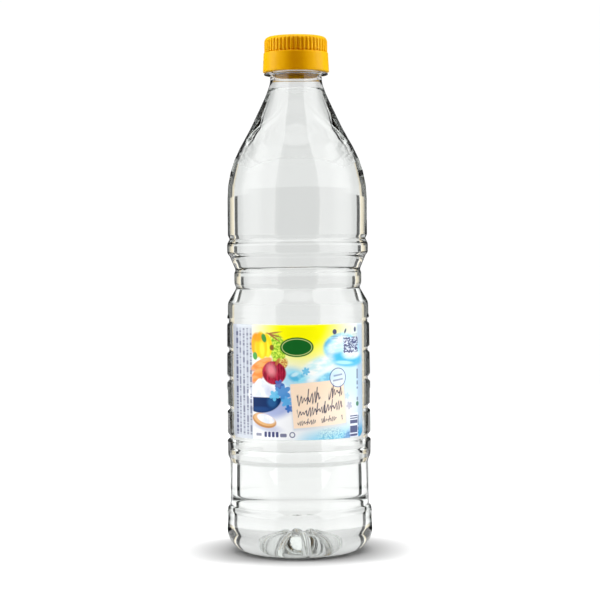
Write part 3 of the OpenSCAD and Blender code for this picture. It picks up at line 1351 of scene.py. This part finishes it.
    def ring(self, radius: float, height: float, depth: float, under: bool, columns: int) -> np.ndarray:
        """One ring of points of the form.

        Args:
            radius: the turned form's radius there.
            height: the turned form's height there.
            depth: how deep in the wall.
            under: whether it is part of the underside, which has the ribs.
            columns: how many points it has.

        Returns:
            Rows of x, y and z.
        """
        angles = np.arange(columns) * 2 * math.pi / columns
        if under:
            return turned(radius, self.rib_height(radius, height, angles, depth), angles)
        side = self.side_radius(radius, height, angles, depth) - self.waver(height, angles)
        return turned(side, height, angles)

    def waver(self, height: float, angles: np.ndarray) -> np.ndarray:
        """How far the blown wall sinks: a little everywhere but at the foot, label and neck.

        Args:
            height: the height.
            angles: the angle about the axis, in radians.

        Returns:
            The distance at each angle.
        """
        plain = np.interp(height, self.waver_heights, self.waver_shares)
        if not plain:
            return np.zeros_like(angles)
        rise = self.waver_stretch * height
        places = [(self.body_r * math.cos(a), self.body_r * math.sin(a), rise) for a in angles]
        waves = np.array([noise.noise(Vector(place) / self.waver_span) for place in places])
        return self.waver_depth * plain * (0.5 + 0.5 * waves)

    def rings(self, depth: float, ends: tuple[Corner, ...], top: float = 1e9) -> list[np.ndarray]:
        """All rings of the form, from the middle of the underside up.

        Args:
            depth: how deep in the wall.
            ends: the outline's upper end.
            top: the height to stop at.

        Returns:
            The points of each ring.
        """
        line = self.line(depth, ends)
        foot = int(np.argmax(line[:, 1] <= depth + 1e-3))
        made = []
        for i, (radius, height) in enumerate(line):
            if height > top:
                break
            if radius < 0.01:
                made.append(np.array([[0.0, 0.0, height]]))
                continue
            under = i < foot
            made.append(self.ring(radius, height, depth, under, self.columns * (2 if under else 1)))
        return made


@dataclass
class BottlePiece:
    """The clear bottle, a closed shell with a wall of true thickness."""

    form: BottleForm
    finish: Clear = Clear("clear plastic", (0.985, 0.995, 0.99), 1.45)

    def build(self) -> bpy.types.Object:
        """Makes the shell: up the outside, over the lip and down the inside.

        Returns:
            The piece.
        """
        skin = Skin()
        for ring in self.form.rings(0.0, self.form.neck_line()):
            skin.ring(ring)
        for ring in reversed(self.form.rings(self.form.wall, self.form.bore_line())):
            skin.ring(ring)
        thing = finished(skin.mesh, "bottle_shell")
        thing.data.materials.append(self.finish.material())
        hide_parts("bottle")
        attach(thing, Body.ROOT.value)
        return thing


@dataclass
class VinegarPiece:
    """The vinegar, which reaches half-way into the wall and climbs it a little at its rim."""

    form: BottleForm
    level: float = 252.0
    climb: float = 0.5
    fade: float = 1.7
    shares: tuple[float, ...] = (1.0, 0.985, 0.97, 0.95, 0.92, 0.88, 0.83, 0.77, 0.7, 0.6, 0.45, 0.25)
    finish: Clear = Clear("vinegar", (0.985, 0.995, 0.985), 1.34)

    def build(self) -> bpy.types.Object:
        """Makes the filled form and its curved surface.

        Returns:
            The piece.
        """
        depth = self.form.wall / 2
        rim = self.level + self.climb
        line = self.form.line(depth, self.form.bore_line())
        edge = float(np.interp(rim, line[-40:, 1], line[-40:, 0]))
        skin = Skin()
        for ring in self.form.rings(depth, self.form.bore_line(), rim - 0.05):
            skin.ring(ring)
        angles = np.arange(self.form.columns) * 2 * math.pi / self.form.columns
        for share in self.shares:
            radius = edge * share
            lift = self.climb * math.exp(-max(edge - self.form.wall / 2 - radius, 0) / self.fade)
            skin.ring(turned(radius, self.level + lift, angles))
        skin.ring(np.array([[0.0, 0.0, self.level]]))
        thing = finished(skin.mesh, "vinegar_fill")
        thing.data.materials.append(self.finish.material())
        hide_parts("vinegar")
        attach(thing, Body.ROOT.value)
        return thing


@dataclass
class CapPiece:
    """The screw cap: fine upright ribs above a smooth flared skirt."""

    radius: float = 17.25
    groove: float = 0.5
    ribs: int = 48
    rounding: float = 3.0
    skirt_high_r: float = 17.6
    skirt_low_r: float = 18.1
    skirt_top: float = 272.3
    low: float = 261.8
    top: float = 281.0
    bore_r: float = 14.5
    bore_top: float = 279.3
    crest: float = 0.18
    flank: float = 0.18
    skirt_step: float = 1.2
    rib_step: float = 1.5
    half_turns: tuple[float, ...] = (0.1, 0.2, 0.25, 0.31, 0.36, 0.43)
    finish: Moulded = Moulded("cap plastic", (0.95, 0.56, 0.0), (0.9, 0.48, 0.0), 0.3)

    def rib_angles(self) -> tuple[np.ndarray, np.ndarray]:
        """Where the columns of points stand.

        Returns:
            Their angles, and how far each lies into a groove, from 0 to 1.
        """
        turns = np.array([-0.5, *(-t for t in reversed(self.half_turns)), 0, *self.half_turns])
        into = np.clip((np.abs(turns) - self.crest) / self.flank, 0, 1)
        into = into * into * (3 - 2 * into)
        angles = (np.arange(self.ribs)[:, None] + turns[None, :]) * 2 * math.pi / self.ribs
        return angles.ravel(), np.tile(into, self.ribs)

    def build(self) -> bpy.types.Object:
        """Makes the cap: up the outside, in at the top, and down the bore.

        Returns:
            The piece.
        """
        angles, into = self.rib_angles()
        skin = Skin()
        skirt = Outline(
            (
                (self.bore_r, self.low, 0),
                (self.skirt_low_r, self.low, 0.35),
                (self.skirt_high_r, self.skirt_top, 0.4),
                (self.radius - self.groove - 0.3, self.skirt_top, 0),
            )
        )
        for radius, height in spaced(skirt.points(10), lambda _: self.skirt_step):
            skin.ring(turned(radius, height, angles))
        ribbed = Outline(
            ((self.radius, self.skirt_top, 0), (self.radius, self.top, self.rounding), (3.0, self.top, 0))
        )
        rib_r = self.radius - self.groove * into
        for radius, height in spaced(ribbed.points(8), lambda _: self.rib_step):
            rim = soft_min(np.full_like(rib_r, radius), rib_r + 0.02, 0.12) if radius > 12 else radius
            skin.ring(turned(rim, height, angles))
        skin.ring(np.array([[0.0, 0.0, self.top]]))
        self._bore(skin, angles)
        thing = finished(skin.mesh, "cap_shell")
        thing.data.materials.append(self.finish.material())
        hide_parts("cap")
        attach(thing, Body.ROOT.value)
        return thing

    def _bore(self, skin: Skin, angles: np.ndarray) -> None:
        """Adds the inside, joined to the skirt's first ring.

        Args:
            skin: the cap's skin.
            angles: the angles of the columns.
        """
        skin.mesh.verts.ensure_lookup_table()
        first = skin.mesh.verts[: len(angles)]
        skin.last = []
        skin.ring(np.array([[0.0, 0.0, self.bore_top]]))
        for radius, height in (
            (self.bore_r - 1, self.bore_top),
            (self.bore_r, self.bore_top - 0.5),
            (self.bore_r, (self.bore_top + self.low) / 2),
        ):
            skin.ring(turned(radius, height, angles))
        for j in range(len(angles)):
            k = (j + 1) % len(angles)
            skin.mesh.faces.new((skin.last[j], skin.last[k], first[k], first[j]))


@dataclass
class LabelPiece:
    """The paper label, bent round the bottle's front."""

    form: BottleForm
    low: float = 64.4
    high: float = 125.4
    half: float = 63.5
    turn: float = -1.5
    rounding: float = 4.0
    gap: float = 0.03
    thick: float = 0.12
    across: int = 96

    PRINT_MAP = "print"

    def row_half(self, up: float) -> float:
        """Half the label's width at a height.

        Args:
            up: the height above its foot.

        Returns:
            Half the width.
        """
        whole = math.radians(self.half) * (self.form.panel_r + self.thick)
        if up >= self.rounding:
            return whole
        return whole - self.rounding + math.sqrt(max(self.rounding**2 - (self.rounding - up) ** 2, 0))

    def build(self) -> bpy.types.Object:
        """Makes the sheet: a printed front, a plain back and its edges.

        Returns:
            The piece.
        """
        made = bmesh.new()
        layer = made.loops.layers.uv.new(self.PRINT_MAP)
        tall = self.high - self.low
        corner = [self.rounding * (1 - math.cos(t * math.pi / 16)) for t in range(8)]
        ups = [*corner, *np.linspace(self.rounding, tall, 40)]
        lifts = (self.gap + self.thick, self.gap)
        front, back = ([self._row(made, up, lift) for up in ups] for lift in lifts)
        where = {}
        for grid in (front, back):
            for up, row in zip(ups, grid):
                for vert, offset in zip(row, np.linspace(-1, 1, self.across + 1)):
                    where[vert] = (offset * self.row_half(up), up)
        for i in range(len(ups) - 1):
            for j in range(self.across):
                made.faces.new((front[i][j], front[i][j + 1], front[i + 1][j + 1], front[i + 1][j]))
                face = made.faces.new((back[i][j], back[i + 1][j], back[i + 1][j + 1], back[i][j + 1]))
                face.material_index = 1
        self._edges(made, front, back)
        for face in made.faces:
            for loop in face.loops:
                loop[layer].uv = where[loop.vert]
        thing = finished(made, "label_sheet")
        thing.data.materials.append(PrintedPaper().material())
        thing.data.materials.append(PlainPaper().material())
        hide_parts("label")
        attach(thing, Body.ROOT.value)
        return thing

    def _row(self, made: bmesh.types.BMesh, up: float, lift: float) -> list[bmesh.types.BMVert]:
        """One row of points.

        Args:
            made: the bmesh.
            up: the row's height above the label's foot.
            lift: how far it lies off the bottle.

        Returns:
            The points.
        """
        half = self.row_half(up) / (self.form.panel_r + self.thick)
        bearings = np.linspace(-1, 1, self.across + 1) * half + math.radians(self.turn - 90)
        height = self.low + up
        plain = np.full_like(bearings, self.form.panel_r)
        radius = self.form.side_radius(plain, np.full_like(bearings, height), bearings, 0.0)
        radius = np.maximum(radius, self.form.panel_r) + lift
        return [made.verts.new(Vector(p) * MM) for p in turned(radius, height, bearings)]

    @staticmethod
    def _edges(made: bmesh.types.BMesh, front: list, back: list) -> None:
        """Closes the gap between front and back all round.

        Args:
            made: the bmesh.
            front: the front's rows of points.
            back: the back's rows of points.
        """
        rims = []
        for rows in (front, back):
            right, left = [row[-1] for row in rows[1:]], [row[0] for row in reversed(rows[1:-1])]
            rims.append([*rows[0], *right, *reversed(rows[-1][:-1]), *left])
        ahead, behind = rims
        for j in range(len(ahead)):
            k = (j + 1) % len(ahead)
            face = made.faces.new((ahead[j], behind[j], behind[k], ahead[k]))
            face.material_index = 1
            face.smooth = False


# ---------------------------------------------------------------- studio


@dataclass(frozen=True)
class Lamp:
    """A soft lamp that lights one thing alone, and that gloss and glass don't see.

    The place is in metres, and tip is how far it is tipped up from facing straight down, in degrees.
    """

    name: str
    energy: float
    colour: Colour
    place: Point
    tip: float
    wide: float = 0.9
    high: float = 0.6

    def light(self, thing: bpy.types.Object) -> None:
        """Sets the lamp up.

        Args:
            thing: what it lights.
        """
        data = bpy.data.lights.new(self.name, "AREA")
        data.shape = "RECTANGLE"
        data.size, data.size_y = self.wide, self.high
        data.energy, data.color = self.energy, self.colour
        lamp = bpy.data.objects.new(self.name, data)
        bpy.context.scene.collection.objects.link(lamp)
        lamp.matrix_world = Matrix.Translation(self.place) @ Matrix.Rotation(math.radians(self.tip), 4, "X")
        lamp.visible_camera = lamp.visible_glossy = lamp.visible_transmission = False
        group = bpy.data.collections.new(self.name)
        group.objects.link(thing)
        lamp.light_linking.receiver_collection = group
        lamp.light_linking.blocker_collection = group


@dataclass
class Studio:
    """The floor, the light and the camera. Bearings are degrees round from straight behind the bottle."""

    distance: float = 983.0
    eye_height: float = 167.5
    view_angle: float = 19.0
    pitch: float = 1.757
    yaw: float = 0.065
    roll: float = 0.507
    floor_x: tuple[float, ...] = (-500, -200, 200, 500)
    floor_y: tuple[float, ...] = (-260, -100, 300, 1100)
    bounces: int = 24
    print_lamps: tuple[Lamp, ...] = (
        Lamp("print_lamp", 8.0, (1.0, 1.0, 1.0), (0, -1.1, 0.35), 78),
        Lamp("back_lamp", 5.0, (1.0, 1.0, 1.0), (0, 1.1, 0.35), -78),
    )
    cap_lamps: tuple[Lamp, ...] = (
        Lamp("cap_lamp", 2.2, (1.0, 0.06, 0.0), (0, -1.1, 0.35), 86),
        Lamp("rim_lamp", 2.6, (1.0, 0.8, 0.45), (0, 0.5, 0.01), -150),
    )
    shown: float = 1.02
    edge_tint: Colour = (1.0, 0.88, 0.66)
    edge_band: Band = (43, 56, 3)
    horizon: tuple[float, float] = (-1.7, -1.1)
    narrow_band: Band = (46, 70, 1)
    narrow_tilt: tuple[float, float] = (4, 8)
    top_band: Band = (120, 190, 10)
    top_tilt: tuple[float, float] = (54, 58)
    top_light: float = 1.1
    least_seen: float = 0.01
    side_band: Band = (75, 101, 6)
    side_light: float = 5.2
    back_band: Band = (-10, 50, 10)
    back_light: float = 0.7
    sky_tilt: tuple[float, float] = (45, 65)
    sky_light: float = 2.7
    least_cast: float = 0.03
    through: Levels = (
        *((0.0, 0.79), (36.2, 0.77), (36.7, 0.0), (41.6, 0.0), (42.2, 1.15), (50.0, 1.0), (55.0, 0.5)),
        *((57.0, 0.01), (78.0, 0.01), (82.0, 0.8), (146.0, 0.8), (152.0, 0.3), (180.0, 0.3)),
    )
    through_low: Levels = (
        *((0.0, 0.88), (47.0, 0.88), (49.0, 0.01), (76.0, 0.01)),
        *((80.0, 0.9), (146.0, 0.9), (152.0, 0.3), (180.0, 0.3)),
    )
    mirrored: Levels = (
        *((0.0, 0.02), (44.0, 0.02), (50.0, 0.3), (70.0, 0.3), (80.0, 1.6)),
        *((100.0, 2.8), (142.0, 2.8), (145.0, 0.02), (180.0, 0.02)),
    )

    def build(self, printed: bpy.types.Object, cap: bpy.types.Object) -> None:
        """Makes the stage.

        Args:
            printed: the label, which has lamps of its own.
            cap: the cap, which has lamps of its own.
        """
        self.floor()
        self.camera()
        self.world()
        for thing, lamps in ((printed, self.print_lamps), (cap, self.cap_lamps)):
            for lamp in lamps:
                lamp.light(thing)
        settings = bpy.context.scene
        settings.view_settings.view_transform = "Standard"
        settings.cycles.max_bounces = self.bounces
        settings.cycles.transmission_bounces = self.bounces
        settings.cycles.use_denoising = True

    def floor(self) -> None:
        """A wide flat sheet under the bottle."""
        made = bmesh.new()
        grid = [[made.verts.new((x * MM, y * MM, 0)) for x in self.floor_x] for y in self.floor_y]
        for low, high in zip(grid, grid[1:]):
            for j in range(len(low) - 1):
                made.faces.new((low[j], low[j + 1], high[j + 1], high[j]))
        sheet = finished(made, "floor")
        sheet.data.materials.append(Ground((self.through, self.through_low)).material())

    def camera(self) -> None:
        """The camera in front, level with the bottle's middle."""
        data = bpy.data.cameras.new("camera")
        data.angle = math.radians(self.view_angle)
        data.clip_start, data.clip_end = 0.05, 20.0
        eye = bpy.data.objects.new("camera", data)
        bpy.context.scene.collection.objects.link(eye)
        look = Matrix.Translation((0, -self.distance * MM, self.eye_height * MM))
        for turn, axis in ((-self.yaw, "Z"), (90 - self.pitch, "X"), (-self.roll, "Z")):
            look = look @ Matrix.Rotation(math.radians(turn), 4, axis)
        eye.matrix_world = look
        bpy.context.scene.camera = eye

    def world(self) -> None:
        """White seen directly, side panels in gloss and glass, and soft light on matt things."""
        made = bpy.data.worlds.new("studio")
        bpy.context.scene.world = made
        made.use_nodes = True
        graph = Graph(made.node_tree)
        x, y, z = graph.value("ShaderNodeTexCoord", out="Generated").parts()
        bearing = x.math("ARCTAN2", abs(x), y) * DEGREES
        tilt = z.math("ARCSINE", z) * DEGREES
        path = graph.node("ShaderNodeLightPath")
        names = ("Is Camera Ray", "Is Glossy Ray", "Is Transmission Ray", "Diffuse Depth")
        direct, gloss, glass, scattered = (Value(graph, path.outputs[name]) for name in names)
        sharp = gloss.most(glass) * (1 - scattered.least(1.0))
        cast = self.cast(graph, bearing, tilt)
        mirrored = self.seen(graph, (self.mirrored, self.mirrored), bearing, tilt)
        through = self.seen(graph, (self.through, self.through_low), bearing, tilt)
        lit = glass * through + (1 - glass) * mirrored
        strength = direct * self.shown + (1 - direct) * (sharp * lit + (1 - sharp) * cast)
        warm = self.band(graph, bearing, self.edge_band) * glass
        tint = graph.mix(warm, (1.0, 1.0, 1.0), self.edge_tint)
        shader = graph.node("ShaderNodeBackground", None, {"Color": tint, "Strength": strength})
        graph.node("ShaderNodeOutputWorld", None, {"Surface": Value(graph, shader.outputs[0])})

    @staticmethod
    def band(graph: Graph, bearing: Value, band: Band) -> Value:
        """1 at the bearings of a band, with soft edges.

        Args:
            graph: the world's tree.
            bearing: the ray's bearing.
            band: the band's first and last bearing, and the width of its edges.

        Returns:
            The share.
        """
        low, high, soft = band
        rise = graph.grow("SMOOTHSTEP", bearing, low - soft / 2, low + soft / 2)
        fall = graph.grow("SMOOTHSTEP", bearing, high - soft / 2, high + soft / 2, 1.0, 0.0)
        return rise * fall

    def seen(self, graph: Graph, levels: Sequence[Levels], bearing: Value, tilt: Value) -> Value:
        """What gloss or glass sees round about: levels at bearings, and a light overhead.

        Args:
            graph: the world's tree.
            levels: the levels seen above the horizon, and those below it.
            bearing: the ray's bearing.
            tilt: how far it points up, in degrees.

        Returns:
            The level seen.
        """
        high, low = (graph.lookup(line, bearing) for line in levels)
        level = graph.grow("SMOOTHSTEP", tilt, *self.horizon, low, high)
        steep = graph.grow("SMOOTHSTEP", abs(tilt), *self.narrow_tilt)
        narrow = self.band(graph, bearing, self.narrow_band) * steep
        overhead = graph.grow("SMOOTHSTEP", tilt, *self.top_tilt) * self.band(graph, bearing, self.top_band)
        return (level * (1 - narrow)).most(overhead * self.top_light) + self.least_seen

    def cast(self, graph: Graph, bearing: Value, tilt: Value) -> Value:
        """What lights matt things: bright sides and top, a plain back and a dark front.

        Args:
            graph: the world's tree.
            bearing: the ray's bearing.
            tilt: how far it points up, in degrees.

        Returns:
            The level cast.
        """
        sides = self.band(graph, bearing, self.side_band) * self.side_light
        back = self.band(graph, bearing, self.back_band) * self.back_light
        overhead = graph.grow("SMOOTHSTEP", tilt, *self.sky_tilt) * self.sky_light
        return (sides + back).most(overhead) + self.least_cast


def main() -> None:
    """Builds every piece in order, then the studio."""
    logging.basicConfig(level=logging.INFO, format="%(name)s: %(message)s")
    form = BottleForm()
    pieces = {}
    for maker in (BottlePiece(form), VinegarPiece(form), CapPiece(), LabelPiece(form)):
        thing = maker.build()
        pieces[thing.name] = thing
        log.info("%s: %d faces", thing.name, len(thing.data.polygons))
    Studio().build(pieces["label_sheet"], pieces["cap_shell"])


if __name__ == "__main__":
    main()
